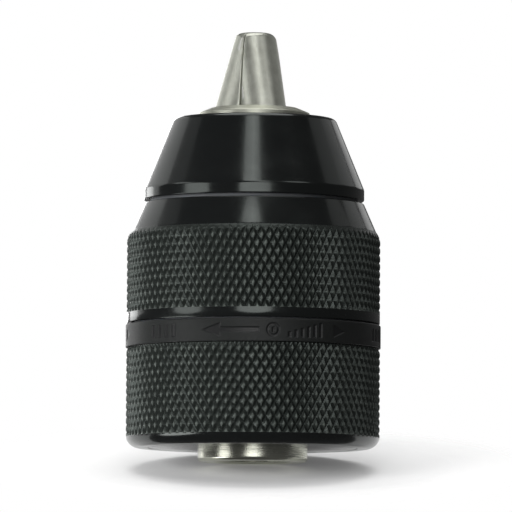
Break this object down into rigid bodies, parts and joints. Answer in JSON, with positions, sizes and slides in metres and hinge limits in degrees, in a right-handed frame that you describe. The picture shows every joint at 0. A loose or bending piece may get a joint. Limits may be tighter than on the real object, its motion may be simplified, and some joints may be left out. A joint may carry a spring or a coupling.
{
  "type": "drill chuck",
  "caption": "Keyless jaw chuck with a knurled front sleeve that opens and closes the jaws, a fixed rear sleeve, a black nose cover and a threaded boss.",
  "frame": {"origin": "centre of the spindle thread's mouth, on the boss's end face", "axes": "+Z along the chuck's axis towards the jaw tips; one jaw lies on -X"},
  "size_m": [0.0432, 0.0432, 0.0729],
  "materials": {
    "body_steel": "turned steel, fine rings",
    "gloss_black": "glossy black moulding, knurled grips",
    "matte_black": "matte charcoal band",
    "nylon": "plain nylon",
    "spring_steel": "blank spring steel",
    "bearing_steel": "hardened and ground",
    "brass": "stamped brass",
    "nut_steel": "hardened steel, oiled",
    "jaw_steel": "ground satin steel"
  },
  "bodies": {
    "housing": {"body": "body_steel", "rear_sleeve": "gloss_black", "rear_cover": "gloss_black", "marking_band": "matte_black", "dust_ring": "nylon", "nose_cover": "gloss_black", "nose_snap_ring": "spring_steel", "slip_washer": "nylon", "rear_race": "bearing_steel"},
    "nut": {"nut_half_1": "nut_steel", "nut_half_2": "nut_steel", "nut_band": "nut_steel", "front_race": "bearing_steel", "lock_spring": "spring_steel"},
    "grip": {"front_sleeve": "gloss_black"},
    "bearing": {"ball_cage": "brass", "bearing_balls": "bearing_steel"},
    "first_jaw": {"jaw_1": "jaw_steel"},
    "second_jaw": {"jaw_2": "jaw_steel"},
    "third_jaw": {"jaw_3": "jaw_steel"}
  },
  "joints": [
    {"name": "nut_turn", "type": "hinge", "parent": "housing", "child": "nut", "pos_m": [0, 0, 0.0285], "axis": [0, 0, 1], "range_deg": [0, 5515]},
    {"name": "sleeve_lock", "type": "hinge", "parent": "nut", "child": "grip", "pos_m": [0, 0, 0.0335], "axis": [0, 0, 1], "range_deg": [-14, 0]},
    {"name": "cage_turn", "type": "hinge", "parent": "housing", "child": "bearing", "pos_m": [0, 0, 0.0265], "axis": [0, 0, 1], "range_deg": [0, 2759]},
    {"name": "first_jaw_slide", "type": "slide", "parent": "housing", "child": "first_jaw", "axis": [0.1336, 0.2314, -0.9636], "range_m": [0, 0.02433]},
    {"name": "second_jaw_slide", "type": "slide", "parent": "housing", "child": "second_jaw", "axis": [-0.2672, 0, -0.9636], "range_m": [0, 0.02433]},
    {"name": "third_jaw_slide", "type": "slide", "parent": "housing", "child": "third_jaw", "axis": [0.1336, -0.2314, -0.9636], "range_m": [0, 0.02433]}
  ],
  "couplings": [
    {"joint": "cage_turn", "follows": "nut_turn", "ratio": 0.5},
    {"joint": "first_jaw_slide", "follows": "nut_turn", "m_per_rad": 0.00025266},
    {"joint": "second_jaw_slide", "follows": "nut_turn", "m_per_rad": 0.00025266},
    {"joint": "third_jaw_slide", "follows": "nut_turn", "m_per_rad": 0.00025266}
  ]
}
